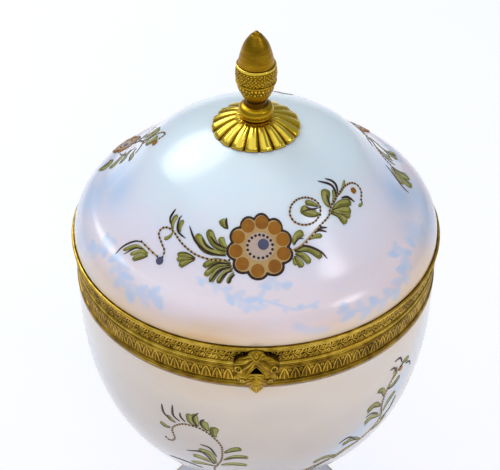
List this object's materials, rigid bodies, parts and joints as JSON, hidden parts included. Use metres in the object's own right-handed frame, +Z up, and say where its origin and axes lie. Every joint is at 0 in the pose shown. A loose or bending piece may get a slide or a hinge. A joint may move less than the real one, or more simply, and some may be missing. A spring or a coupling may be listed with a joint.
{
  "type": "opaline glass box",
  "caption": "Footed opaline glass box with a hinged domed lid, gilt rims and clasp, an acorn finial and painted flower sprays.",
  "frame": {"origin": "centre of the foot's flat underside", "axes": "+Z up through the finial, the clasp faces -Y, the hinge is at +Y and +X is to the right seen from the clasp"},
  "size_m": [0.1324, 0.1378, 0.2425],
  "materials": {
    "opaline": "polished milky opaline, blue in the crown and warm at the rims",
    "gilt_rim": "chased gilt brass, a little dull in the hollows",
    "gilt_bright": "polished gilt brass"
  },
  "bodies": {
    "base": {"bowl_glass": "opaline", "body_rim": "gilt_rim", "body_hinge_leaf": "gilt_rim", "hinge_pin": "gilt_bright"},
    "lid": {"lid_glass": "opaline", "lid_rim": "gilt_rim", "lid_hinge_leaf": "gilt_rim", "clasp": "gilt_rim", "finial": "gilt_bright", "finial_rosette": "gilt_bright", "finial_nut": "gilt_rim"}
  },
  "joints": [
    {"name": "lid_hinge", "type": "hinge", "parent": "base", "child": "lid", "pos_m": [0, 0.0673, 0.1535], "axis": [-1, 0, 0], "range_deg": [0, 100]}
  ]
}
